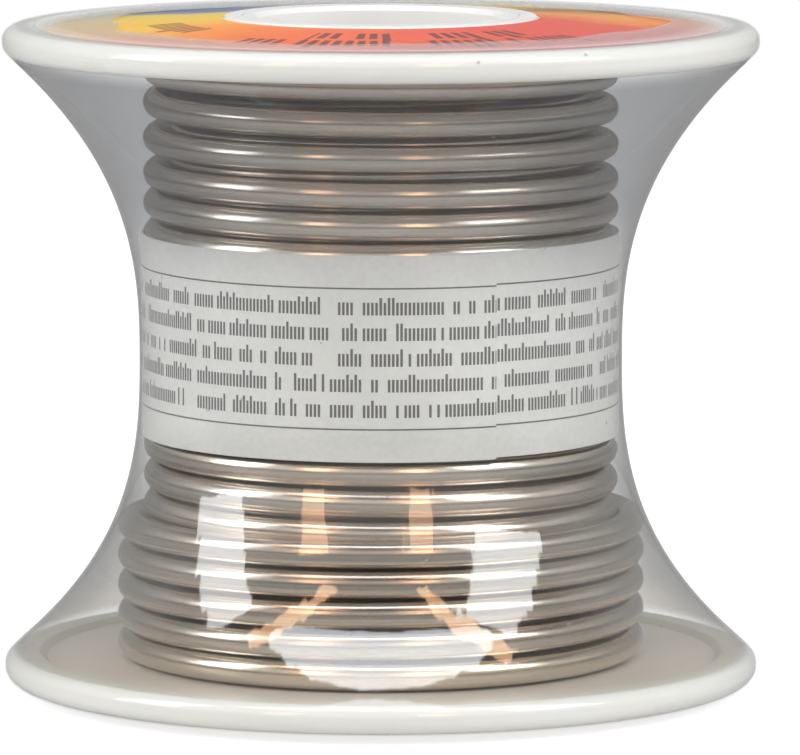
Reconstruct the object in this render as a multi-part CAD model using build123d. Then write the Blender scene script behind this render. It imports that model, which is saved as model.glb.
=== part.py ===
from build123d import *
import math
import os

# A half-pound spool of flux-cored solder wire, as sold: a two-piece moulded plastic spool, four layers of
# wound wire, a paper band round the winding, a paper label on each flange face, and a clear shrink film
# drawn over the whole. It stands on its lower hub ring. Millimetres, +Z up along the spindle bore, with
# the origin on the bore axis at the base.

# Spool
SPOOL_HEIGHT = 57.1          # over the two hub rings
FLANGE_DIAMETER = 63.5
RIM_THICKNESS = 2.4
RIM_EDGE_RADIUS = 1.05
RIM_LAND = 2.85              # width of the raised rim on each outer face
RIM_STEP_WIDTH = 0.6         # slope from the rim down to the flange's inner face
HUB_STAND_OUT = 0.9          # hub ring above the rim
HUB_STEP = 0.25              # hub ring above the dished face that meets it
FLANGE_WALL = 1.4            # between the face and the winding, at the rim where it is thinnest
LABEL_RECESS = 0.5           # depth of each dished face below its rim, where it meets it
LAND_EDGE_RADIUS = 0.3
BORE_DIAMETER = 20.6         # clears a 20 mm spindle
SPIGOT_WALL = 1.35
BARREL_WALL = 1.4
HALVES_CLEARANCE = 0.05      # between the two halves, wherever they meet
SEAT_DEPTH = 1.0             # barrel's end in the lower flange
BORE_CHAMFER = 0.4
HUB_EDGE_RADIUS = 0.2
SNAP_RADIUS = 0.3            # half-round ridge that locks the halves
SNAP_HEIGHT = 0.18           # how far the ridge stands out of the spigot
SNAP_BELOW_TOP = 9.0

# Solder wire
WIRE_DIAMETER = 2.38         # 3/32 in
FLUX_DIAMETER = 0.95
FLUX_CLEARANCE = 0.01
TURN_GAP = 0.17
LAYER_SLACK = 0.23           # layers that lie a little off the grooves below them
WINDING_CLEARANCE = 0.1      # barrel to the first layer
LAYER_CLEARANCE = 0.02       # crests of one layer to the bore of the next
FLANGE_CLEARANCE = 0.02      # end turns to the flanges
FULL_LAYERS = 3
OUTER_RINGS = 4              # whole turns in the outer layer, under the last one
LOOSE_TURNS = 3              # top turns of each layer, which are spread over the spare width
TOP_SLACK = 0.5              # spare width that the loose turns leave under the upper flange
CREST_HALF_ANGLE = 75        # how much of each turn shows between its neighbours
LAST_TURN_ANGLE = 330
LAST_TURN_START = 105        # where the last turn begins, anticlockwise from +X

# Paper labels
BAND_HEIGHT = 17.2
BAND_RISE = 1.8              # band's middle above the spool's middle
BAND_THICKNESS = 0.15
FACE_LABEL_THICKNESS = 0.12
LABEL_MARGIN = 0.3           # face label inside the dished face, at the hub and at the rim

# Shrink film
FILM_THICKNESS = 0.1
FILM_GAP = 0.04              # film or band to whatever it is drawn over
FILM_OVERLAP = 10.25         # how far the film reaches in over each flange face
FILM_LEAVE_ANGLE = 48        # lean of the film where it meets the upper rim, from upright
FILM_SHOULDER_GAP = 0.25     # film over the outer layer's top turn
FILM_STATIONS = 7            # points along each flare
FILM_SETTLE_STEPS = 12       # rounds that settle a flare's angle at the rim

# Sizes that follow from the ones above
flange_radius = FLANGE_DIAMETER / 2
bore_radius = BORE_DIAMETER / 2
spigot_radius = bore_radius + SPIGOT_WALL
barrel_bore_radius = spigot_radius + HALVES_CLEARANCE
barrel_radius = barrel_bore_radius + BARREL_WALL
hub_ring_radius = barrel_radius + HALVES_CLEARANCE
recess_radius = flange_radius - RIM_LAND
face_edge_depth = HUB_STAND_OUT + LABEL_RECESS
face_slope = (face_edge_depth - HUB_STEP) / (recess_radius - hub_ring_radius)
rim_inner_face = HUB_STAND_OUT + RIM_THICKNESS
rim_edge_radius = min(RIM_EDGE_RADIUS, RIM_THICKNESS * 0.45)
flange_inner_face = face_edge_depth + FLANGE_WALL
snap_height = SPOOL_HEIGHT - SNAP_BELOW_TOP
middle = SPOOL_HEIGHT / 2

wire_radius = WIRE_DIAMETER / 2
turn_pitch = WIRE_DIAMETER + TURN_GAP
layer_rise = math.sqrt(WIRE_DIAMETER ** 2 - (turn_pitch / 2) ** 2) + LAYER_SLACK
winding_bottom = flange_inner_face + FLANGE_CLEARANCE
winding_width = SPOOL_HEIGHT - 2 * winding_bottom
last_turn_height = winding_bottom + turn_pitch * (OUTER_RINGS + 0.5)


def face_depth(radius):
    """Depth of a flange's dished face below the end of the hub ring, at a radius."""
    return HUB_STEP + face_slope * (radius - hub_ring_radius)


def layer_crest(layer):
    """Outer radius of a layer of wire, counted from 1 at the barrel."""
    return barrel_radius + WINDING_CLEARANCE + WIRE_DIAMETER + (layer - 1) * layer_rise


band_inner_radius = layer_crest(FULL_LAYERS) + FILM_GAP
film_waist_radius = band_inner_radius + BAND_THICKNESS + FILM_GAP + FILM_THICKNESS


def turn_heights(layer):
    """Heights of a full layer's turns. Odd layers sit half a turn higher, in the grooves of the even ones."""
    offset = turn_pitch / 2 * (layer % 2)
    turns = int((winding_width - offset) / turn_pitch)
    spare = max(0, winding_width - offset - turns * turn_pitch - TOP_SLACK)
    heights = []
    for turn in range(turns):
        loose = max(0, turn + 1 + LOOSE_TURNS - turns) / LOOSE_TURNS
        heights.append(winding_bottom + offset + turn_pitch * (turn + 0.5) + spare * loose)
    return heights


def revolved(outline):
    """The solid that a closed outline in the XZ plane sweeps round the Z axis."""
    return revolve(make_face(outline), Axis.Z)


def outline_of(*points):
    """A closed outline of straight edges through (radius, height) points."""
    return Polyline(*[(radius, 0, height) for radius, height in points], close=True)


def tube(outer, inner, low, high):
    """A plain tube round the Z axis."""
    return revolved(outline_of((inner, low), (outer, low), (outer, high), (inner, high)))


def flange():
    """The lower flange with its rim, dished face and hub ring, with the hub still solid."""
    face = make_face(
        outline_of(
            (0, 0),
            (hub_ring_radius, 0),
            (hub_ring_radius, HUB_STEP),
            (recess_radius, face_edge_depth),
            (recess_radius, HUB_STAND_OUT),
            (flange_radius, HUB_STAND_OUT),
            (flange_radius, rim_inner_face),
            (recess_radius, rim_inner_face),
            (recess_radius - RIM_STEP_WIDTH, flange_inner_face),
            (0, flange_inner_face),
        )
    )
    face = rounded(face, rim_edge_radius, (flange_radius, HUB_STAND_OUT), (flange_radius, rim_inner_face))
    face = rounded(face, LAND_EDGE_RADIUS, (recess_radius, HUB_STAND_OUT), (recess_radius, rim_inner_face))
    face = rounded(face, HUB_EDGE_RADIUS, (hub_ring_radius, 0))
    return revolve(face, Axis.Z)


def rounded(face, corner_radius, *corners):
    """The flat face with its corners at these (radius, height) points rounded."""
    picked = [face.vertices().sort_by_distance((radius, 0, height))[0] for radius, height in corners]
    return fillet(picked, corner_radius)


def mirrored_to_top(shape):
    """The shape turned over about the spool's middle height."""
    return mirror(shape, Plane.XY.offset(middle))


def make_lower_half():
    """Lower flange with the long spigot that carries the bore."""
    body = flange() + tube(spigot_radius, 0, 0, SPOOL_HEIGHT)
    seat_low = flange_inner_face - SEAT_DEPTH
    body -= tube(hub_ring_radius, spigot_radius, seat_low, flange_inner_face + 1)
    return body + snap_ridge() - bore()


def snap_ridge():
    """The half-round ridge on the spigot that clicks into the barrel's groove."""
    low_edge = (spigot_radius, 0, snap_height - SNAP_RADIUS)
    high_edge = (spigot_radius, 0, snap_height + SNAP_RADIUS)
    inner_radius = spigot_radius - SNAP_RADIUS
    crest = ThreePointArc(low_edge, (spigot_radius + SNAP_HEIGHT, 0, snap_height), high_edge)
    root = Polyline(high_edge, (inner_radius, 0, high_edge[2]), (inner_radius, 0, low_edge[2]), low_edge)
    return revolved([crest, root])


def bore():
    """The spindle bore with a chamfer at each mouth."""
    wide = bore_radius + BORE_CHAMFER
    return revolved(
        outline_of(
            (0, 0),
            (wide, 0),
            (bore_radius, BORE_CHAMFER),
            (bore_radius, SPOOL_HEIGHT - BORE_CHAMFER),
            (wide, SPOOL_HEIGHT),
            (0, SPOOL_HEIGHT),
        )
    )


def make_upper_half():
    """Upper flange with the barrel that the wire is wound on. It slides down over the spigot."""
    seat = flange_inner_face - SEAT_DEPTH + HALVES_CLEARANCE
    body = mirrored_to_top(flange()) + tube(barrel_radius, 0, seat, SPOOL_HEIGHT - flange_inner_face)
    body -= tube(barrel_bore_radius, 0, 0, SPOOL_HEIGHT)
    groove_reach = SNAP_RADIUS + HALVES_CLEARANCE
    groove_radius = barrel_bore_radius + SNAP_HEIGHT
    return body - tube(groove_radius, 0, snap_height - groove_reach, snap_height + groove_reach)


def make_wire_layer(layer, heights):
    """The outer shape of one layer of turns: a plain bore inside and a round crest for each turn."""
    crest = layer_crest(layer)
    inner = barrel_radius + WINDING_CLEARANCE if layer == 1 else layer_crest(layer - 1) + LAYER_CLEARANCE
    half_angle = math.radians(CREST_HALF_ANGLE)
    root = crest - wire_radius * (1 - math.cos(half_angle))
    reach = wire_radius * math.sin(half_angle)
    crests = [ThreePointArc((root, 0, z - reach), (crest, 0, z), (root, 0, z + reach)) for z in heights]
    roots = [Line(below @ 1, above @ 0) for below, above in zip(crests, crests[1:])]
    low = heights[0] - wire_radius
    high = heights[-1] + wire_radius
    rest = Polyline(
        crests[-1] @ 1, (root, 0, high), (inner, 0, high), (inner, 0, low), (root, 0, low), crests[0] @ 0
    )
    return revolved(crests + roots + [rest])


def partial_ring(outer, inner=0):
    """The last turn's stretch of a round section, which is solid if the inner radius is 0."""
    centre = (layer_crest(FULL_LAYERS + 1) - wire_radius, 0, last_turn_height)
    section_plane = Plane(origin=centre, x_dir=(1, 0, 0), z_dir=(0, -1, 0))
    section = section_plane * Circle(outer)
    if inner:
        section -= section_plane * Circle(inner)
    return revolve(section, Axis.Z, LAST_TURN_ANGLE).rotate(Axis.Z, LAST_TURN_START)


def make_band_label():
    """The paper band round the third layer."""
    low = middle + BAND_RISE - BAND_HEIGHT / 2
    return tube(band_inner_radius + BAND_THICKNESS, band_inner_radius, low, low + BAND_HEIGHT)


def make_face_label():
    """The lower flange's paper label, laid on its dished face."""
    inner = hub_ring_radius + LABEL_MARGIN
    outer = recess_radius - LABEL_MARGIN
    return revolved(
        outline_of(
            (inner, face_depth(inner) - FACE_LABEL_THICKNESS),
            (outer, face_depth(outer) - FACE_LABEL_THICKNESS),
            (outer, face_depth(outer)),
            (inner, face_depth(inner)),
        )
    )


def flare(exponent, end_radius, end_height, inset):
    """Points of a flare from the film's waist to the rim, moved in by inset across the film."""
    points = []
    for station in range(1, FILM_STATIONS + 1):
        share = station / FILM_STATIONS
        slope = (end_radius - film_waist_radius) / end_height * exponent * share ** (exponent - 1)
        radius = film_waist_radius + (end_radius - film_waist_radius) * share ** exponent
        lean = math.atan(slope)
        points.append((radius - inset * math.cos(lean), share * end_height + inset * math.sin(lean)))
    return points


def settled_flare(exponent_for):
    """A flare's exponent and end on the rim's rounded edge, where the film leaves it at its own slope."""
    centre_radius = flange_radius - rim_edge_radius
    centre_height = middle - rim_inner_face + rim_edge_radius
    reach = rim_edge_radius + FILM_GAP + FILM_THICKNESS
    lean = math.radians(FILM_LEAVE_ANGLE)
    for _ in range(FILM_SETTLE_STEPS):
        end_radius = centre_radius + reach * math.cos(lean)
        end_height = centre_height - reach * math.sin(lean)
        exponent = exponent_for(end_radius, end_height)
        lean = math.atan((end_radius - film_waist_radius) / end_height * exponent)
    return exponent, end_radius, end_height, lean


def upper_exponent(end_radius, end_height):
    """The exponent that gives the upper flare its leaving angle."""
    return end_height / (end_radius - film_waist_radius) * math.tan(math.radians(FILM_LEAVE_ANGLE))


def lower_exponent(end_radius, end_height):
    """The exponent that carries the lower flare just over the outer layer's top turn."""
    shoulder = layer_crest(FULL_LAYERS + 1) + FILM_SHOULDER_GAP + FILM_THICKNESS
    share = (shoulder - film_waist_radius) / (end_radius - film_waist_radius)
    return math.log(share) / math.log((middle - last_turn_height) / end_height)


def film_side(exponent_for, inset):
    """One surface of half the film from its waist to its lip, as edges at heights from the spool's middle."""
    exponent, end_radius, end_height, lean = settled_flare(exponent_for)
    points = [(film_waist_radius - inset, 0)] + flare(exponent, end_radius, end_height, inset)
    reach = rim_edge_radius + FILM_GAP + FILM_THICKNESS - inset
    centre_radius = flange_radius - rim_edge_radius
    inner_height = middle - rim_inner_face + rim_edge_radius
    outer_height = middle - HUB_STAND_OUT - rim_edge_radius
    side_radius = centre_radius + reach
    half_lean = lean / 2
    top = outer_height + reach
    diagonal = reach * math.sqrt(0.5)
    inside_land = (recess_radius, 0, top)
    lip_radius = flange_radius - FILM_OVERLAP
    lip_height = middle - face_depth(lip_radius) + FACE_LABEL_THICKNESS + FILM_GAP + FILM_THICKNESS - inset
    lip = (lip_radius, 0, lip_height)
    return [
        Spline([(radius, 0, height) for radius, height in points],
               tangents=[(0, 0, 1), (math.sin(lean), 0, math.cos(lean))]),
        ThreePointArc((points[-1][0], 0, points[-1][1]),
                      (centre_radius + reach * math.cos(half_lean), 0,
                       inner_height - reach * math.sin(half_lean)),
                      (side_radius, 0, inner_height)),
        Line((side_radius, 0, inner_height), (side_radius, 0, outer_height)),
        ThreePointArc((side_radius, 0, outer_height),
                      (centre_radius + diagonal, 0, outer_height + diagonal),
                      (centre_radius, 0, top)),
        Line((centre_radius, 0, top), inside_land),
        Line(inside_land, lip),
    ]


def make_film_half(exponent_for):
    """Half of the film above the spool's middle, still centred on the origin."""
    outer = film_side(exponent_for, 0)
    inner = film_side(exponent_for, FILM_THICKNESS)
    ends = [Line(outer[0] @ 0, inner[0] @ 0), Line(outer[-1] @ 1, inner[-1] @ 1)]
    return revolved(outer + inner + ends)


def make_film():
    """The shrink film: an hourglass drawn in round the band, over both rims and onto both faces."""
    upper = make_film_half(upper_exponent)
    lower = mirror(make_film_half(lower_exponent), Plane.XY)
    return (upper + lower).translate((0, 0, middle))


outer_layer_heights = [winding_bottom + turn_pitch * (ring + 0.5) for ring in range(OUTER_RINGS)]

nodes = {
    "lower_spool_half": make_lower_half(),
    "upper_spool_half": make_upper_half(),
    "wire_last_turn": partial_ring(wire_radius, FLUX_DIAMETER / 2 + FLUX_CLEARANCE),
    "flux_core": partial_ring(FLUX_DIAMETER / 2),
    "band_label": make_band_label(),
    "lower_face_label": make_face_label(),
    "upper_face_label": mirrored_to_top(make_face_label()),
    "shrink_film": make_film(),
}
for layer in range(1, FULL_LAYERS + 1):
    nodes[f"wire_layer_{layer}"] = make_wire_layer(layer, turn_heights(layer))
nodes[f"wire_layer_{FULL_LAYERS + 1}"] = make_wire_layer(FULL_LAYERS + 1, outer_layer_heights)

os.makedirs("parts", exist_ok=True)
for name, shape in nodes.items():
    export_step(shape, f"parts/{name}.step")
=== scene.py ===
import math

import bpy
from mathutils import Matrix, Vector


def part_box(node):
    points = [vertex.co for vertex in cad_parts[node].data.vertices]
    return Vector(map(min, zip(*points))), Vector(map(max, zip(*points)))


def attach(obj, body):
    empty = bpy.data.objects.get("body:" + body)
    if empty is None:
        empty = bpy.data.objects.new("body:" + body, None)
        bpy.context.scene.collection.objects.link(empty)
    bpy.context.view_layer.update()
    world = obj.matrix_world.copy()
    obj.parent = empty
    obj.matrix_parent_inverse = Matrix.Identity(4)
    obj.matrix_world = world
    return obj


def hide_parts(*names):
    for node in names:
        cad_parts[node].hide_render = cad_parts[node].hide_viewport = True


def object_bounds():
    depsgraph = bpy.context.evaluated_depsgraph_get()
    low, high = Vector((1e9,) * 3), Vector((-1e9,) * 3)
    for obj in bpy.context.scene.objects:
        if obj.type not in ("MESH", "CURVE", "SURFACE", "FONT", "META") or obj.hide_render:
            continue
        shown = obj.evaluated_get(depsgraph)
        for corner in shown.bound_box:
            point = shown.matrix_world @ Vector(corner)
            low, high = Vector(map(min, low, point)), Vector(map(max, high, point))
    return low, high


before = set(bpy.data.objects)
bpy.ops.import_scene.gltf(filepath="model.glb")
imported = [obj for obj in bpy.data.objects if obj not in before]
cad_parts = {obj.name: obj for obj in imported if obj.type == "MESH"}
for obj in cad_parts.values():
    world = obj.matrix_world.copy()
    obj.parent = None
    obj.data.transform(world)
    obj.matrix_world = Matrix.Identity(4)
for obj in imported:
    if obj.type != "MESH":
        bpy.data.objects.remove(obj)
cad_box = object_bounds()
bpy.ops.object.select_all(action="DESELECT")

# Stand: the spool stands on its lower hub ring on a white bench top, which isn't part of it. The camera
# looks level across the top flange through a long lens. The bench is lit as a small product table: a tall
# softbox at each side, a round one overhead, and narrow warm lamps in front of it and above.
low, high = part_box("shrink_film")
spool_middle = (Vector(low) + Vector(high)) / 2
camera_distance = 0.680
camera_elevation = 6.7                  # degrees
lens_length = 362
frame_shift = (0.024, -0.032)
ceiling_height = 0.80
strip_distance = 0.9
warm = (1.0, 0.58, 0.32)
wall_greys = ((0.04, (0.09, 0.08, 0.075, 1)), (0.24, (0.90, 0.88, 0.85, 1)), (0.54, (0.95, 0.93, 0.89, 1)),
              (0.70, (0.13, 0.125, 0.12, 1)), (1.0, (0.12, 0.12, 0.12, 1)))
back_wall_grey = (0.38, 0.39, 0.40, 1)
back_wall_reach = (0.2, 0.8)            # where the walls turn into the back wall, as a share of straight back
bench_size = 6.0
bench_grey = (0.45, 0.45, 0.45, 1)
bench_lift = 0.75                       # how much brighter the bench is to the camera
bench_bounce = 0.36                     # how much brighter it is to what stands on it


def outward(azimuth, elevation):
    """The direction that lies at an azimuth to the right of the spool's front and an elevation, in degrees."""
    around, up = math.radians(azimuth), math.radians(elevation)
    return Vector((math.sin(around) * math.cos(up), -math.cos(around) * math.cos(up), math.sin(up)))


def upright(azimuth, distance, height):
    """The place at an azimuth, a level distance and a height from the spool's middle."""
    return outward(azimuth, 0) * distance + Vector((0, 0, height))


def lamp(name, place, width, height, brightness, colour=(1, 1, 1), shape="RECTANGLE", upright_at=None, level=None,
         mirrored=True, lights=True):
    """A flat lamp at a place from the spool's middle, as bright per area as given. It is turned to the spool,
    or stands upright and faces it from an azimuth, or lies level with its length at an angle. Glossy pieces
    mirror it and matt ones are lit by it, unless it is set to do only one of the two."""
    light = bpy.data.lights.new(name, "AREA")
    light.shape = shape
    light.size = width
    light.size_y = height
    light.energy = brightness * math.pi * width * height
    light.color = colour
    stand = bpy.data.objects.new(name, light)
    bpy.context.scene.collection.objects.link(stand)
    stand.location = spool_middle + place
    stand.rotation_euler = place.to_track_quat("Z", "Y").to_euler()
    if upright_at is not None:
        stand.rotation_euler = outward(upright_at, 0).to_track_quat("Z", "Y").to_euler()
    if level is not None:
        stand.rotation_euler = (0, 0, math.radians(level))
    stand.visible_camera = False
    stand.visible_glossy = mirrored
    stand.visible_diffuse = lights


lamp("softbox_left", upright(-77, 0.6, 0.42), 0.25, 0.60, 6.2, upright_at=-77)
lamp("softbox_right", upright(60, 0.6, 0.61), 0.34, 0.70, 6.2, upright_at=60)
lamp("front_fill", outward(0, 30) * strip_distance, 0.5, 0.4, 1.8, mirrored=False)
lamp("softbox_top", Vector((0.02, -0.01, ceiling_height)), 0.70, 0.74, 1.3, (0.93, 0.96, 1.0), shape="ELLIPSE",
     level=0, mirrored=False)
lamp("top_gleam", Vector((0, -0.22, ceiling_height - 0.02)), 0.84, 0.27, 5.2, (0.90, 0.95, 1.0), shape="ELLIPSE",
     level=0, lights=False)
lamp("warm_strip_left", outward(-31, 24) * strip_distance, 0.17, 0.36, 4.2, warm, lights=False)
lamp("warm_strip_right", outward(18, 24) * strip_distance, 0.17, 0.36, 4.2, warm, lights=False)
lamp("warm_bar_left", Vector((-0.39, -0.38, ceiling_height)), 0.09, 0.56, 7.0, warm, level=18, lights=False)
lamp("warm_bar_right", Vector((0.33, -0.36, ceiling_height)), 0.09, 0.62, 7.0, warm, level=-18, lights=False)

lens = bpy.data.cameras.new("camera")
lens.lens = lens_length
lens.shift_x, lens.shift_y = frame_shift
lens.clip_end = 20
camera = bpy.data.objects.new("camera", lens)
bpy.context.scene.collection.objects.link(camera)
camera.location = spool_middle + outward(0, camera_elevation) * camera_distance
camera.rotation_euler = (camera.location - spool_middle).to_track_quat("Z", "Y").to_euler()
bpy.context.scene.camera = camera
bpy.context.scene.view_settings.view_transform = "Standard"

world = bpy.data.worlds.new("white_room")
bpy.context.scene.world = world
world.use_nodes = True
room = world.node_tree
room.nodes.clear()
seen_directly = room.nodes.new("ShaderNodeLightPath")
white_room = room.nodes.new("ShaderNodeBackground")
white_room.inputs["Color"].default_value = (1, 1, 1, 1)
grey_room = room.nodes.new("ShaderNodeBackground")
way = room.nodes.new("ShaderNodeSeparateXYZ")
room.links.new(room.nodes.new("ShaderNodeTexCoord").outputs["Generated"], way.inputs[0])
walls = room.nodes.new("ShaderNodeValToRGB")
while len(walls.color_ramp.elements) < len(wall_greys):
    walls.color_ramp.elements.new(0.5)
for stop, (position, colour) in zip(walls.color_ramp.elements, wall_greys):
    stop.position = position
    stop.color = colour
room.links.new(way.outputs["Z"], walls.inputs["Fac"])
back_wall = room.nodes.new("ShaderNodeMapRange")
back_wall.inputs["From Min"].default_value, back_wall.inputs["From Max"].default_value = back_wall_reach
room.links.new(way.outputs["Y"], back_wall.inputs["Value"])
walls_round = room.nodes.new("ShaderNodeMix")
walls_round.data_type = "RGBA"
room.links.new(back_wall.outputs[0], walls_round.inputs["Factor"])
room.links.new(walls.outputs["Color"], walls_round.inputs[6])
walls_round.inputs[7].default_value = back_wall_grey
room.links.new(walls_round.outputs[2], grey_room.inputs["Color"])
either_room = room.nodes.new("ShaderNodeMixShader")
room_output = room.nodes.new("ShaderNodeOutputWorld")
room.links.new(seen_directly.outputs["Is Camera Ray"], either_room.inputs["Fac"])
room.links.new(grey_room.outputs[0], either_room.inputs[1])
room.links.new(white_room.outputs[0], either_room.inputs[2])
room.links.new(either_room.outputs[0], room_output.inputs["Surface"])

bpy.ops.mesh.primitive_plane_add(size=bench_size, location=(0, 0, cad_box[0][2]))
bench = bpy.context.object
bench.name = "bench_top"
bpy.ops.object.transform_apply(location=True)
bench_white = bpy.data.materials.new("bench_white")
bench_white.use_nodes = True
bench_tree = bench_white.node_tree
bench_shader = bench_tree.nodes["Principled BSDF"]
bench_shader.inputs["Base Color"].default_value = bench_grey
bench_shader.inputs["Roughness"].default_value = 0.7
bench_shader.inputs["Emission Color"].default_value = (1, 1, 1, 1)
bench_sight = bench_tree.nodes.new("ShaderNodeLightPath")
bench_seen = bench_tree.nodes.new("ShaderNodeMath")
bench_seen.operation = "MULTIPLY"
bench_seen.inputs[1].default_value = bench_lift
bench_glow = bench_tree.nodes.new("ShaderNodeMath")
bench_glow.operation = "MULTIPLY_ADD"
bench_glow.inputs[1].default_value = bench_bounce
bench_tree.links.new(bench_sight.outputs["Is Camera Ray"], bench_seen.inputs[0])
bench_tree.links.new(bench_sight.outputs["Is Diffuse Ray"], bench_glow.inputs[0])
bench_tree.links.new(bench_seen.outputs[0], bench_glow.inputs[2])
bench_tree.links.new(bench_glow.outputs[0], bench_shader.inputs["Emission Strength"])
bench.data.materials.append(bench_white)

# Spool: two halves injection-moulded in natural white polystyrene. The long spigot of the lower one snaps
# into the barrel of the upper one, and the two ends show as a fine ring in the top of the hub.
plastic_white = (0.79, 0.775, 0.755, 1)
plastic_pale = (0.81, 0.80, 0.785, 1)   # where it flowed into the mould last


def new_material(name):
    """A material with its node tree and its Principled shader."""
    material = bpy.data.materials.new(name)
    material.use_nodes = True
    return material, material.node_tree, material.node_tree.nodes["Principled BSDF"]


def value(tree, operation, *inputs):
    """The output of a Math node. Each input is a number or a socket."""
    node = tree.nodes.new("ShaderNodeMath")
    node.operation = operation
    for socket, source in zip(node.inputs, inputs):
        if isinstance(source, (int, float)):
            socket.default_value = source
        else:
            tree.links.new(source, socket)
    return node.outputs[0]


def noise(tree, place, scale, detail=2.0):
    """The output of a Noise node at a place."""
    node = tree.nodes.new("ShaderNodeTexNoise")
    node.inputs["Scale"].default_value = scale
    node.inputs["Detail"].default_value = detail
    tree.links.new(place, node.inputs["Vector"])
    return node.outputs["Fac"]


def blend(tree, share, first, second):
    """The colour that lies between two, each a colour or a socket."""
    node = tree.nodes.new("ShaderNodeMix")
    node.data_type = "RGBA"
    tree.links.new(share, node.inputs["Factor"])
    for socket, source in ((node.inputs[6], first), (node.inputs[7], second)):
        if isinstance(source, tuple):
            socket.default_value = source
        else:
            tree.links.new(source, socket)
    return node.outputs[2]


def stretched(tree, share, low_in, high_in, low_out, high_out):
    """A value moved from one range to another, and held within it."""
    node = tree.nodes.new("ShaderNodeMapRange")
    for socket, source in zip(node.inputs, (share, low_in, high_in, low_out, high_out)):
        if isinstance(source, (int, float)):
            socket.default_value = source
        else:
            tree.links.new(source, socket)
    return node.outputs[0]


def bumped(tree, shader, height, distance):
    """A shader's surface raised by a height pattern, by up to a distance in metres."""
    node = tree.nodes.new("ShaderNodeBump")
    node.inputs["Distance"].default_value = distance
    tree.links.new(height, node.inputs["Height"])
    tree.links.new(node.outputs["Normal"], shader.inputs["Normal"])


def object_place(tree):
    """The output that gives each point's place on the piece, in metres."""
    return tree.nodes.new("ShaderNodeTexCoord").outputs["Object"]


def from_axis(tree, x, y):
    """The distance from the upright axis."""
    return value(tree, "SQRT", value(tree, "ADD", value(tree, "POWER", x, 2), value(tree, "POWER", y, 2)))


def moulded_plastic():
    """Natural white polystyrene: faintly mottled by its flow in the mould, glossy, a little translucent."""
    material, tree, shader = new_material("moulded_plastic")
    place = object_place(tree)
    flow = stretched(tree, noise(tree, place, 90, 3), 0.35, 0.65, 0, 1)
    tree.links.new(blend(tree, flow, plastic_white, plastic_pale), shader.inputs["Base Color"])
    haze = stretched(tree, noise(tree, place, 900, 4), 0.3, 0.7, 0.30, 0.36)
    tree.links.new(haze, shader.inputs["Roughness"])
    shader.inputs["Specular IOR Level"].default_value = 0.35
    shader.inputs["Subsurface Weight"].default_value = 0.25
    shader.inputs["Subsurface Radius"].default_value = (1.0, 0.9, 0.75)
    shader.inputs["Subsurface Scale"].default_value = 0.002
    bumped(tree, shader, noise(tree, place, 300, 2), 0.0000015)
    return material


spool_plastic = moulded_plastic()
for half in ("lower_spool_half", "upper_spool_half"):
    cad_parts[half].data.materials.clear()
    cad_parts[half].data.materials.append(spool_plastic)

# Solder wire: one strand of drawn tin-lead alloy, 3/32 in thick, with a rosin core. It is wound on in three
# full layers and five more turns, from the top down first. Each turn lies level round the front and steps
# over to its neighbour at the back, and the film over it all holds its end.
wire_radius = 0.00238 / 2
turn_pitch = 0.00255
layer_plan = (("wire_layer_1", 19, "down"), ("wire_layer_2", 20, "up"), ("wire_layer_3", 19, "down"))
loose_turns = 3                         # turns at the top of a layer that share out its spare width
outer_turns = 5                         # turns of the fourth layer, at the lower end
wire_end = outer_turns - 15 / 360       # where in the fourth layer the wire is cut, in turns
points_per_turn = 20
back = math.pi / 2                      # the angle at which turns step over and layers climb
step_share = 0.64                       # how much of each turn's advance is the step at the back
step_reach = 0.25                       # how far the step reaches each side of the back, in turns
climb_reach = 0.15                      # the same for a climb to the next layer
wander = 0.00004                        # how far a turn strays up and down
alloy_warm = (0.81, 0.715, 0.64, 1)
alloy_grey = (0.75, 0.715, 0.65, 1)
die_line_grey = (0.44, 0.41, 0.38, 1)
lines_across, lines_along = 6000, 2.5   # how fine the die lines are, per metre and per radian
drift_across, drift_along = 420, 1.2    # how quickly the tint drifts, the same way


def smooth(share):
    """A share that leaves 0 and reaches 1 gently, and stays between them."""
    share = min(1, max(0, share))
    return share * share * (3 - 2 * share)


def layer_heights(node, turns):
    """The heights of a layer's turns, of which the top ones are spread over the spare width."""
    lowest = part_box(node)[0][2] + wire_radius
    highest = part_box(node)[1][2] - wire_radius
    spare = highest - lowest - turn_pitch * (turns - 1)
    spread = [max(0, turn + 1 + loose_turns - turns) / loose_turns for turn in range(turns)]
    return [lowest + turn_pitch * turn + spare * spread[turn] for turn in range(turns)]


def height_at(heights, turned):
    """The wire's height after so many turns of a layer: level at the front, stepping at the back."""
    turn = math.floor(turned)
    share = turned - turn
    nearest_back = share if share < 0.5 else share - 1
    step = smooth((nearest_back + step_reach) / (2 * step_reach)) - (1 if nearest_back >= 0 else 0)
    advance = step if abs(nearest_back) < step_reach else 0
    place = turn + (1 - step_share) * (share - 0.5) + step_share * advance
    place = min(len(heights) - 1, max(0, place))
    below = min(len(heights) - 2, math.floor(place))
    return heights[below] + (heights[below + 1] - heights[below]) * (place - below)


def winding_layers():
    """Each layer's radius and its turns' heights in the order in which they are wound."""
    layers = []
    for node, turns, way in layer_plan:
        heights = layer_heights(node, turns)
        layers.append((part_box(node)[1][0] - wire_radius, heights[::-1] if way == "down" else heights))
    outer_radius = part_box("wire_layer_4")[1][0] - wire_radius
    outer_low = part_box("wire_layer_4")[0][2] + wire_radius
    layers.append((outer_radius, [outer_low + turn_pitch * turn for turn in range(outer_turns)]))
    return layers


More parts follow.
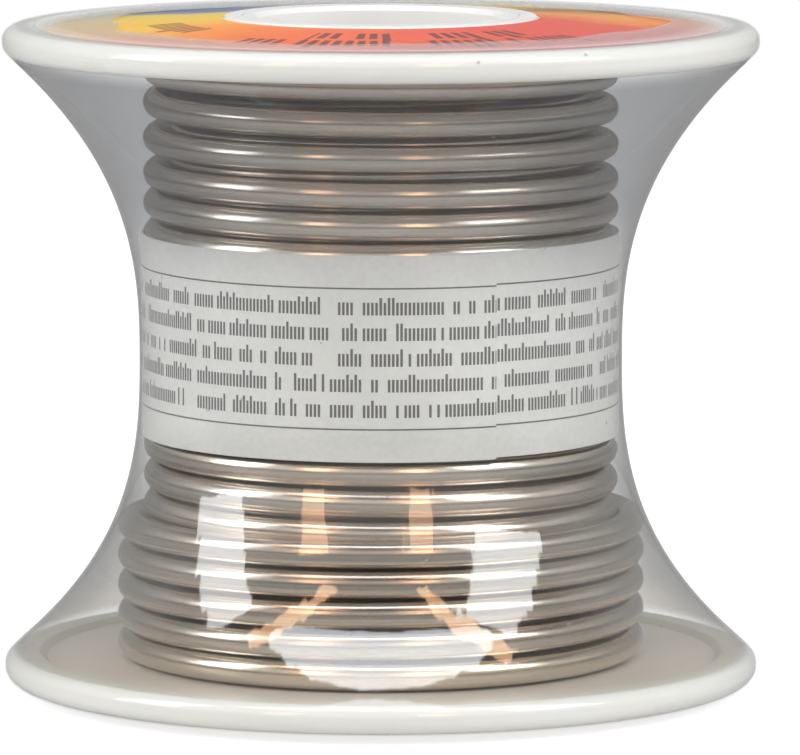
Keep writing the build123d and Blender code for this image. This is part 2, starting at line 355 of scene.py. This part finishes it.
def winding_route():
    """The wire's centreline from its start at the barrel, round every turn, to its cut end."""
    route = []
    layers = winding_layers()
    bulge = 1 / math.cos(math.pi / points_per_turn)     # because the smooth curve cuts inside its points
    for index, (radius, heights) in enumerate(layers):
        last_layer = index == len(layers) - 1
        turns = wire_end if last_layer else len(heights)
        for point in range(int(turns * points_per_turn) + (1 if last_layer else 0)):
            turned = point / points_per_turn
            here_radius, here_height = radius, height_at(heights, turned)
            other, share = index, 0
            if turned < climb_reach and index:
                other, share = index - 1, 0.5 - turned / (2 * climb_reach)
            if turned > turns - climb_reach and not last_layer:
                other, share = index + 1, 0.5 - (turns - turned) / (2 * climb_reach)
            if other != index:
                end_height = layers[other][1][-1 if other < index else 0]
                here_radius += (layers[other][0] - radius) * smooth(share)
                here_height += (end_height - here_height) * smooth(share)
            angle = back + 2 * math.pi * turned
            here_height += wander * math.sin(2 * angle + 1.9 * math.floor(turned))
            route.append((here_radius * bulge, angle, here_height))
    return [(r * math.cos(a), r * math.sin(a), z) for r, a, z in route]


def bent_wire(name, route, radius, round_steps, along_steps):
    """A round wire along a smooth route."""
    curve = bpy.data.curves.new(name, "CURVE")
    curve.dimensions = "3D"
    spline = curve.splines.new("NURBS")
    spline.points.add(len(route) - 1)
    for point, place in zip(spline.points, route):
        point.co = (*place, 1)
    spline.order_u = 3
    spline.use_endpoint_u = True
    spline.resolution_u = along_steps
    curve.resolution_u = along_steps
    curve.bevel_depth = radius
    curve.bevel_resolution = round_steps
    curve.use_fill_caps = True
    piece = bpy.data.objects.new(name, curve)
    bpy.context.scene.collection.objects.link(piece)
    return piece


def drawn_alloy():
    """Tin-lead wire, satin, with fine lines along it from the die and a tint that drifts from turn to turn."""
    material, tree, shader = new_material("drawn_alloy")
    split = tree.nodes.new("ShaderNodeSeparateXYZ")
    tree.links.new(object_place(tree), split.inputs[0])
    x, y, z = split.outputs
    angle = value(tree, "ARCTAN2", y, x)
    along = tree.nodes.new("ShaderNodeCombineXYZ")
    tree.links.new(value(tree, "MULTIPLY", from_axis(tree, x, y), lines_across), along.inputs[0])
    tree.links.new(value(tree, "MULTIPLY", z, lines_across), along.inputs[1])
    tree.links.new(value(tree, "MULTIPLY", angle, lines_along), along.inputs[2])
    drift = tree.nodes.new("ShaderNodeCombineXYZ")
    tree.links.new(value(tree, "MULTIPLY", z, drift_across), drift.inputs[0])
    tree.links.new(value(tree, "MULTIPLY", angle, drift_along), drift.inputs[1])
    tint = stretched(tree, noise(tree, drift.outputs[0], 1, 2), 0.35, 0.65, 0, 1)
    metal = blend(tree, tint, alloy_warm, alloy_grey)
    lines = noise(tree, along.outputs[0], 1, 3)
    streaked = blend(tree, stretched(tree, lines, 0.35, 0.7, 0, 0.22), metal, die_line_grey)
    tree.links.new(streaked, shader.inputs["Base Color"])
    shader.inputs["Metallic"].default_value = 1
    tree.links.new(stretched(tree, lines, 0.3, 0.7, 0.19, 0.27), shader.inputs["Roughness"])
    bumped(tree, shader, lines, 0.000003)
    return material


wire_route = winding_route()
solder_wire = bent_wire("solder_wire", wire_route, wire_radius, 6, 3)
solder_wire.data.materials.append(drawn_alloy())
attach(solder_wire, "root")
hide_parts("wire_layer_1", "wire_layer_2", "wire_layer_3", "wire_layer_4", "wire_last_turn")

# Flux core: the rosin that fills the wire's middle. It shows only as an amber dot in the cut end, where it
# stands out a little. This rod is the stretch of it in the last turn.
core_low, core_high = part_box("flux_core")
core_radius = (core_high[2] - core_low[2]) / 2
core_points = points_per_turn - 2       # how many of the wire's last points it follows
core_stands_out = 0.00012
rosin_dark = (0.50, 0.24, 0.06, 1)
rosin_light = (0.78, 0.48, 0.16, 1)


def rosin():
    """Amber rosin, slightly clear, with a rough broken end."""
    material, tree, shader = new_material("rosin")
    place = object_place(tree)
    grain = noise(tree, place, 2600, 3)
    tree.links.new(blend(tree, grain, rosin_dark, rosin_light), shader.inputs["Base Color"])
    shader.inputs["Roughness"].default_value = 0.35
    shader.inputs["Subsurface Weight"].default_value = 0.3
    shader.inputs["Subsurface Scale"].default_value = 0.0006
    bumped(tree, shader, grain, 0.00003)
    return material


core_route = [Vector(place) for place in wire_route[-core_points:]]
core_route.append(core_route[-1] + (core_route[-1] - core_route[-2]).normalized() * core_stands_out)
flux_core = bent_wire("rosin_core", core_route, core_radius, 3, 3)
flux_core.data.materials.append(rosin())
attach(flux_core, "root")
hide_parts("flux_core")

# Band label: a strip of printed paper wound once round the third layer and stuck down on itself, so its outer
# end shows as a fine step at the right of the front. Its print stands here as plain strokes with no wording.
paper_thickness = 0.00013
overlap_angle = math.radians(17)
strip_end_angle = math.radians(28)      # from the front round to the right
strip_slant = 0.00012                   # how much lower the outer end lies
end_lift = 1.25                         # how far apart its overlapped ends lie, in thicknesses
paper_white = (0.86, 0.855, 0.845, 1)
paper_grey = (0.81, 0.81, 0.80, 1)
fibre_grey = (0.62, 0.61, 0.59, 1)
band_ink = (0.03, 0.03, 0.035, 1)
rule_margin = 2.65                      # mm, as are the sizes of the print below
rule_width = 0.13
line_count = 5
line_pitch = 2.12
line_foot = 0.45                        # the strokes' foot above the bottom of their line
stroke_height = 1.05
tall_stroke_height = 1.45
stroke_pitch = 0.34
letter_pitch = 0.68
stroke_sides = (0.12, 0.74)             # where a stroke starts and ends, as shares of its pitch
letters_missing = 0.15                  # share of the letters left out, as between words
strokes_missing = 0.10                  # share of the strokes left out
strokes_short = 0.80                    # share of the strokes that aren't tall


def printed_strip(name, radius, height, thickness):
    """A paper strip wound round the upright axis with its ends overlapped, its outer end at azimuth 0."""
    full_angle = 2 * math.pi + overlap_angle
    length = radius * full_angle
    bpy.ops.mesh.primitive_grid_add(x_subdivisions=300, y_subdivisions=6, size=1, rotation=(math.pi / 2, 0, 0))
    strip = bpy.context.object
    strip.name = name
    strip.scale = (length, height, 1)
    bpy.ops.object.transform_apply(location=True, rotation=True, scale=True)
    for corner in strip.data.vertices:
        share = corner.co.x / length
        corner.co.y = -end_lift * thickness * share
        corner.co.z -= strip_slant * share
    bend = strip.modifiers.new("wind", "SIMPLE_DEFORM")
    bend.deform_method = "BEND"
    bend.deform_axis = "Z"
    bend.angle = full_angle
    bpy.ops.object.modifier_apply(modifier="wind")
    return strip, full_angle


def white_noise(tree, *numbers):
    """A random value for each set of up to three whole numbers."""
    place = tree.nodes.new("ShaderNodeCombineXYZ")
    for socket, source in zip(place.inputs, numbers):
        if isinstance(source, (int, float)):
            socket.default_value = source
        else:
            tree.links.new(source, socket)
    node = tree.nodes.new("ShaderNodeTexWhiteNoise")
    tree.links.new(place.outputs[0], node.inputs["Vector"])
    return node.outputs["Value"]


def within(tree, number, low_end, high_end):
    """1 where a number lies between two others, and 0 elsewhere."""
    return value(tree, "MULTIPLY", value(tree, "GREATER_THAN", number, low_end),
                 value(tree, "LESS_THAN", number, high_end))


def printed_strokes(tree, along, line, up):
    """Rows of upright strokes in groups, as print looks from too far off to read. All sizes in mm."""
    stroke = value(tree, "FLOOR", value(tree, "DIVIDE", along, stroke_pitch))
    letter = value(tree, "FLOOR", value(tree, "DIVIDE", along, letter_pitch))
    inside = value(tree, "FRACT", value(tree, "DIVIDE", along, stroke_pitch))
    present = value(tree, "GREATER_THAN", white_noise(tree, letter, line, 3), letters_missing)
    kept = value(tree, "GREATER_THAN", white_noise(tree, stroke, line, 9), strokes_missing)
    tall = value(tree, "GREATER_THAN", white_noise(tree, stroke, line, 5), strokes_short)
    top = value(tree, "ADD", stroke_height, value(tree, "MULTIPLY", tall, tall_stroke_height - stroke_height))
    upright = value(tree, "MULTIPLY", within(tree, up, 0, top), within(tree, inside, *stroke_sides))
    return value(tree, "MULTIPLY", upright, value(tree, "MULTIPLY", present, kept))


def printed_paper(length, height):
    """White paper with two fine rules and five rows of strokes between them, on the strip's own UV map."""
    material, tree, shader = new_material("printed_paper")
    split = tree.nodes.new("ShaderNodeSeparateXYZ")
    tree.links.new(tree.nodes.new("ShaderNodeTexCoord").outputs["UV"], split.inputs[0])
    along = value(tree, "MULTIPLY", split.outputs[0], length * 1000)
    up = value(tree, "MULTIPLY", split.outputs[1], height * 1000)
    block = (height * 1000 - line_pitch * line_count) / 2
    line = value(tree, "FLOOR", value(tree, "DIVIDE", value(tree, "SUBTRACT", up, block), line_pitch))
    in_line = value(tree, "SUBTRACT", value(tree, "SUBTRACT", up, block),
                    value(tree, "MULTIPLY", line, line_pitch))
    strokes = printed_strokes(tree, along, line, value(tree, "SUBTRACT", in_line, line_foot))
    in_block = within(tree, line, -0.5, line_count - 0.5)
    from_edge = value(tree, "MINIMUM", up, value(tree, "SUBTRACT", height * 1000, up))
    rules = within(tree, from_edge, rule_margin, rule_margin + rule_width)
    ink = value(tree, "MAXIMUM", rules, value(tree, "MULTIPLY", strokes, in_block))
    place = object_place(tree)
    fibres = noise(tree, place, 2200, 4)
    cloud = noise(tree, place, 120, 2)
    paper = blend(tree, stretched(tree, cloud, 0.35, 0.65, 0, 1), paper_white, paper_grey)
    speckled = blend(tree, stretched(tree, fibres, 0.35, 0.8, 0, 0.35), paper, fibre_grey)
    tree.links.new(blend(tree, value(tree, "MULTIPLY", ink, 0.86), speckled, band_ink),
                   shader.inputs["Base Color"])
    tree.links.new(stretched(tree, ink, 0, 1, 0.62, 0.45), shader.inputs["Roughness"])
    bumped(tree, shader, fibres, 0.000012)
    return material


band_low, band_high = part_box("band_label")
band_height = band_high[2] - band_low[2] - strip_slant
band_radius = band_high[0] - paper_thickness
band_label, band_angle = printed_strip("printed_band", band_radius, band_height, paper_thickness)
bpy.ops.object.select_all(action="DESELECT")
band_label.select_set(True)
bpy.context.view_layer.objects.active = band_label
wall = band_label.modifiers.new("thickness", "SOLIDIFY")
wall.thickness = paper_thickness
wall.offset = 0
bpy.ops.object.modifier_apply(modifier="thickness")
band_label.location = (0, -band_radius, 0)
bpy.ops.object.transform_apply(location=True)
band_label.rotation_euler = (0, 0, strip_end_angle - band_angle / 2)
bpy.ops.object.transform_apply(rotation=True)
band_label.location = (0, 0, (band_low[2] + band_high[2]) / 2)
bpy.ops.object.transform_apply(location=True)
bpy.ops.object.shade_smooth_by_angle(angle=math.radians(40))
band_label.data.materials.append(printed_paper(band_radius * band_angle, band_height))
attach(band_label, "root")
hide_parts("band_label")

# Face labels: rings of coated paper stuck into the flanges' recesses. The upper one is printed in a band of
# flame colours round the hub, with two arcs of dark strokes at the front that stand for its wording.
label_colours = (                       # each by its share of the way round
    (0.00, (0.26, 0.24, 0.32, 1)),
    (0.13, (0.08, 0.13, 0.30, 1)),
    (0.19, (0.75, 0.55, 0.06, 1)),
    (0.27, (0.88, 0.52, 0.015, 1)),
    (0.37, (0.90, 0.25, 0.012, 1)),
    (0.45, (0.85, 0.13, 0.02, 1)),
    (0.60, (0.74, 0.06, 0.03, 1)),
    (0.72, (0.72, 0.08, 0.03, 1)),
    (0.79, (0.86, 0.32, 0.03, 1)),
    (0.87, (0.25, 0.12, 0.06, 1)),
    (0.93, (0.78, 0.58, 0.06, 1)),
    (1.00, (0.26, 0.24, 0.32, 1)),
)
plain_yellow = (0.80, 0.62, 0.10, 1)
upper_ink = (0.10, 0.006, 0.006, 1)
lower_ink = (0.05, 0.04, 0.03, 1)
coated_fibre = (0.75, 0.72, 0.70, 1)
flame_flicker = 0.16                    # how far the colours stray round the ring, as a share of a turn
print_arcs = ((16.1, -0.32, 0.75), (20.0, -0.60, 0.95), (17.0, -1.40, -0.95))   # inner radius in mm, angles
arc_scale = 0.36                        # the band's strokes are this much of the size of these


def ring_print(name, colours, arcs, ink):
    """Coated paper printed round its axis with a run of colours from the back, clockwise by the left."""
    material, tree, shader = new_material(name)
    place = object_place(tree)
    split = tree.nodes.new("ShaderNodeSeparateXYZ")
    tree.links.new(place, split.inputs[0])
    x, y, _ = split.outputs
    radius = value(tree, "MULTIPLY", 1000, from_axis(tree, x, y))
    angle = value(tree, "ARCTAN2", x, value(tree, "MULTIPLY", y, -1))
    flicker = value(tree, "MULTIPLY", value(tree, "SUBTRACT", noise(tree, place, 130, 4), 0.5), flame_flicker)
    turn = value(tree, "ADD", value(tree, "ADD", value(tree, "DIVIDE", angle, 2 * math.pi), 0.5), flicker)
    ramp = tree.nodes.new("ShaderNodeValToRGB")
    while len(ramp.color_ramp.elements) < len(colours):
        ramp.color_ramp.elements.new(0.5)
    for stop, (position, colour) in zip(ramp.color_ramp.elements, colours):
        stop.position = position
        stop.color = colour
    tree.links.new(turn, ramp.inputs["Fac"])
    strokes = 0
    for row, (inner, first, last) in enumerate(arcs):
        along = value(tree, "MULTIPLY", angle, inner * arc_scale)
        out = value(tree, "MULTIPLY", value(tree, "SUBTRACT", radius, inner), arc_scale)
        here = value(tree, "MULTIPLY", printed_strokes(tree, along, row, out), within(tree, angle, first, last))
        strokes = value(tree, "MAXIMUM", strokes, here)
    printed = blend(tree, value(tree, "MULTIPLY", strokes, 0.85), ramp.outputs["Color"], ink)
    fibres = noise(tree, place, 1800, 3)
    tree.links.new(blend(tree, stretched(tree, fibres, 0.4, 0.8, 0, 0.12), printed, coated_fibre),
                   shader.inputs["Base Color"])
    tree.links.new(stretched(tree, fibres, 0.3, 0.7, 0.30, 0.42), shader.inputs["Roughness"])
    bumped(tree, shader, fibres, 0.00001)
    return material


face_prints = {
    "upper_face_label": ring_print("flame_print", label_colours, print_arcs, upper_ink),
    "lower_face_label": ring_print("plain_print", ((0, plain_yellow), (1, plain_yellow)), print_arcs, lower_ink),
}
for face_label, face_print in face_prints.items():
    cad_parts[face_label].data.materials.clear()
    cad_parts[face_label].data.materials.append(face_print)

# Shrink film: clear plastic sleeve 0.1 mm thick, shrunk by heat. It clings to the band at the waist, flares
# out to each rim, wraps it and ends in a wavy lip over the face label. It is duller where it stands clear, and
# there its tint also holds painted shade over the upper flare and painted light near the lower rim.
film_thickness = 0.0001
film_waist = 0.02039
film_sides = 180
rim_bend_radius = 0.00119               # the film's outer side round a rim's edge
rim_bend_centre = 0.0307
inner_bend_height = 0.0263              # all heights here are from the spool's middle
outer_bend_height = 0.0266
land_reach = 0.0289
land_top_height = outer_bend_height + rim_bend_radius
lip_reach = 0.0233
lip_height = 0.02795
flare_steps = 26                        # rings up to the rim
rim_steps, edge_steps, lip_steps = 4, 6, 6      # and under its edge, round it and in to the lip
upper_flare = (2.54, math.radians(48))  # exponent, and the lean where it meets the rim
lower_flare = (2.75, math.radians(50.2))
lip_waves = ((3, 0.0007, 1), (7, 0.0005, 2), (13, 0.0003, 0))   # waves round, their height and their shift
leaves_band = (0.0205, 0.0222)          # radii between which it comes off the band
lit_clear_reach = (0.0265, 0.0295)            # those between which its lower flare clears, as painted light on the shaded flange behind
meets_rim = (0.0300, 0.0312)
wraps_rim = (0.0304, 0.0312)
shade_takes_over = (0.015, 0.030)            # heights over the bench between which the upper flare's tint, darkened as painted shade, takes over
hazes_part = (0.025, 0.032)             # those between which its haze does
clear_tint = (0.97, 0.975, 0.97, 1)
low_waist_tint = (0.86, 0.86, 0.855, 1)
# painted light: the lower flare clears towards the rim, so the shaded flange behind it shows lighter
low_rim_lit_tint = (0.96, 0.935, 0.895, 1)
high_straight_tint = (0.95, 0.95, 0.945, 1)
# painted shade: the upper flare seen at a slant is made greyer
high_slant_shade_tint = (0.79, 0.795, 0.805, 1)
lip_white = (0.80, 0.79, 0.80, 1)
haze_grey = (0.62, 0.61, 0.60, 1)
dust_grey = (0.10, 0.10, 0.10, 1)
head_on_mirror = 0.055                  # share of light that each side mirrors straight on
lip_cloudiness = (0.34, 0.13)           # from where the lip starts to its edge
flare_haze = (0.17, 0.12)               # the lower flare's at a slant, and the upper one's
specks_per_metre = 218
speck_size = 0.040                      # radius of a speck of dust over the spacing of the specks


def film_profile(exponent, lean):
    """Radii and heights of half the film from its waist to its lip."""
    end_radius = rim_bend_centre + rim_bend_radius * math.cos(lean)
    end_height = inner_bend_height - rim_bend_radius * math.sin(lean)
    profile = []
    for step in range(1, flare_steps + 1):
        share = step / flare_steps
        profile.append((film_waist + (end_radius - film_waist) * share ** exponent, end_height * share))
    for step in range(1, rim_steps + 1):
        turned = lean * (1 - step / rim_steps)
        profile.append((rim_bend_centre + rim_bend_radius * math.cos(turned),
                        inner_bend_height - rim_bend_radius * math.sin(turned)))
    for step in range(edge_steps + 1):
        turned = math.pi / 2 * step / edge_steps
        profile.append((rim_bend_centre + rim_bend_radius * math.cos(turned),
                        outer_bend_height + rim_bend_radius * math.sin(turned)))
    profile.append((land_reach, land_top_height))
    for step in range(1, lip_steps + 1):
        share = step / lip_steps
        profile.append((land_reach + (lip_reach - land_reach) * share,
                        land_top_height + (lip_height - land_top_height) * smooth(share)))
    return profile


def pull_sleeve(profile, direction):
    """Extrudes the selected open edge along a profile, ring after ring."""
    here_radius, here_height = film_waist, 0
    for radius, height in profile:
        bpy.ops.mesh.extrude_region_move(
            TRANSFORM_OT_translate={"value": (0, 0, (height - here_height) * direction)})
        bpy.ops.transform.resize(value=(radius / here_radius, radius / here_radius, 1),
                                 center_override=(0, 0, spool_middle.z))
        here_radius, here_height = radius, height


bpy.ops.object.select_all(action="DESELECT")
bpy.ops.mesh.primitive_circle_add(vertices=film_sides, radius=film_waist, location=(0, 0, 0))
film = bpy.context.object
film.name = "film_sleeve"
film.location = (0, 0, spool_middle.z)
bpy.ops.object.transform_apply(location=True)
bpy.ops.object.mode_set(mode="EDIT")
bpy.ops.mesh.select_mode(type="EDGE")
bpy.ops.mesh.select_all(action="SELECT")
pull_sleeve(film_profile(*upper_flare), 1)
bpy.ops.mesh.select_all(action="DESELECT")
bpy.ops.object.mode_set(mode="OBJECT")
for edge in film.data.edges:
    ends = [film.data.vertices[corner].co for corner in edge.vertices]
    edge.select = all(abs(end.z - spool_middle.z) < 1e-6 for end in ends)
bpy.ops.object.mode_set(mode="EDIT")
pull_sleeve(film_profile(*lower_flare), -1)
bpy.ops.mesh.select_all(action="SELECT")
bpy.ops.mesh.normals_make_consistent(inside=False)
bpy.ops.object.mode_set(mode="OBJECT")
for corner in film.data.vertices:
    from_middle = corner.co.z - spool_middle.z
    radius = corner.co.xy.length
    angle = math.atan2(corner.co.y, corner.co.x)
    on_face = abs(from_middle) > outer_bend_height
    if on_face and radius < land_reach:
        side = 0.9 if from_middle > 0 else 2.3
        share = (land_reach - radius) / (land_reach - lip_reach)
        wave = sum(height * math.sin(count * angle + shift * side) for count, height, shift in lip_waves)
        corner.co.xy *= 1 + wave * share ** 2 / radius
wall = film.modifiers.new("thickness", "SOLIDIFY")
wall.thickness = film_thickness
wall.offset = -1
bpy.ops.object.modifier_apply(modifier="thickness")
bpy.ops.object.shade_smooth_by_angle(angle=math.radians(40))


def film_tint_and_painted_light(tree, radius, z, facing):
    """What the film lets through where it stands clear: greyer at a slant above, as painted shade, and clearer
    near the lower rim, as painted light on the shaded flange behind it.
    """
    low_lit_tint = blend(tree, stretched(tree, radius, *lit_clear_reach, 0, 1), low_waist_tint, low_rim_lit_tint)
    high_shade_tint = blend(tree, stretched(tree, facing, 0.08, 0.40, 0, 1), high_straight_tint, high_slant_shade_tint)
    return blend(tree, stretched(tree, z, *shade_takes_over, 0, 1), low_lit_tint, high_shade_tint)


def film_gloss(tree, angle, z):
    """The film's mirror, with long faint ripples up it from the shrinking."""
    along = tree.nodes.new("ShaderNodeCombineXYZ")
    tree.links.new(value(tree, "MULTIPLY", angle, 9), along.inputs[0])
    tree.links.new(value(tree, "MULTIPLY", z, 90), along.inputs[1])
    gloss = tree.nodes.new("ShaderNodeBsdfGlossy")
    gloss.inputs["Roughness"].default_value = 0.05
    bumped(tree, gloss, noise(tree, along.outputs[0], 1, 2), 0.00006)
    return gloss.outputs[0]


def dust_specks(tree, place):
    """How strongly a speck of dust shows, which is 0 nearly everywhere."""
    dust = tree.nodes.new("ShaderNodeTexVoronoi")
    dust.inputs["Scale"].default_value = specks_per_metre
    tree.links.new(place, dust.inputs["Vector"])
    return stretched(tree, dust.outputs["Distance"], speck_size, speck_size * 0.6, 0, 0.4)


def mixed(tree, share, first, second):
    """The shader that lies between two."""
    node = tree.nodes.new("ShaderNodeMixShader")
    for socket, source in zip(node.inputs, (share, first, second)):
        tree.links.new(source, socket)
    return node.outputs[0]


def clear_film():
    """Clear film that mirrors more at a slant: smoke-tinted in its flares, with painted shade in the upper one
    and painted light near the lower rim, cloudy in its lips, with specks of dust.
    """
    material, tree, shader = new_material("clear_film")
    tree.nodes.remove(shader)
    place = object_place(tree)
    split = tree.nodes.new("ShaderNodeSeparateXYZ")
    tree.links.new(place, split.inputs[0])
    x, y, z = split.outputs
    radius = from_axis(tree, x, y)
    from_middle = value(tree, "ABSOLUTE", value(tree, "SUBTRACT", z, spool_middle.z))
    slant = tree.nodes.new("ShaderNodeLayerWeight")
    slant.inputs["Blend"].default_value = 0.5
    facing = slant.outputs["Facing"]
    stands_clear = stretched(tree, radius, *leaves_band, 0.25, 1)
    off_rim = stretched(tree, radius, *meets_rim, 1, 0)
    off_face = stretched(tree, from_middle, inner_bend_height, outer_bend_height, 1, 0)
    # where it stands clear: its own smoke and haze, and the painted shade and painted light of its tint
    smoke_and_painted_light = value(tree, "MULTIPLY", off_face, value(tree, "MULTIPLY", stands_clear, off_rim))
    see_through = tree.nodes.new("ShaderNodeBsdfTransparent")
    tint = blend(tree, smoke_and_painted_light, clear_tint, film_tint_and_painted_light(tree, radius, z, facing))
    tree.links.new(tint, see_through.inputs["Color"])
    clings = value(tree, "MULTIPLY", stretched(tree, from_middle, outer_bend_height, land_top_height, 1, 0.30),
                   stretched(tree, radius, *wraps_rim, 1, 0.3))
    mirror = value(tree, "MULTIPLY", clings, value(
        tree, "MULTIPLY_ADD", value(tree, "POWER", facing, 5), 1 - head_on_mirror, head_on_mirror))
    lip = stretched(tree, radius, land_reach, lip_reach + 0.003, *lip_cloudiness)
    lip_cloud = value(tree, "MULTIPLY", value(tree, "SUBTRACT", 1, off_face),
                      value(tree, "MULTIPLY", lip, stretched(tree, radius, land_reach, land_reach + 0.001, 1, 0)))
    haze = value(tree, "MULTIPLY", smoke_and_painted_light, value(
        tree, "MULTIPLY", value(tree, "POWER", facing, 1.4), stretched(tree, z, *hazes_part, *flare_haze)))
    specks = dust_specks(tree, place)
    cloud_colour = blend(tree, off_face, lip_white, haze_grey)
    cloud = tree.nodes.new("ShaderNodeBsdfDiffuse")
    tree.links.new(blend(tree, specks, cloud_colour, dust_grey), cloud.inputs["Color"])
    clear = mixed(tree, mirror, see_through.outputs[0], film_gloss(tree, value(tree, "ARCTAN2", y, x), z))
    cloudy = value(tree, "MAXIMUM", specks, value(tree, "MAXIMUM", lip_cloud, haze))
    tree.links.new(mixed(tree, cloudy, clear, cloud.outputs[0]), tree.nodes["Material Output"].inputs["Surface"])
    return material


film.data.materials.append(clear_film())
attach(film, "root")
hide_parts("shrink_film")
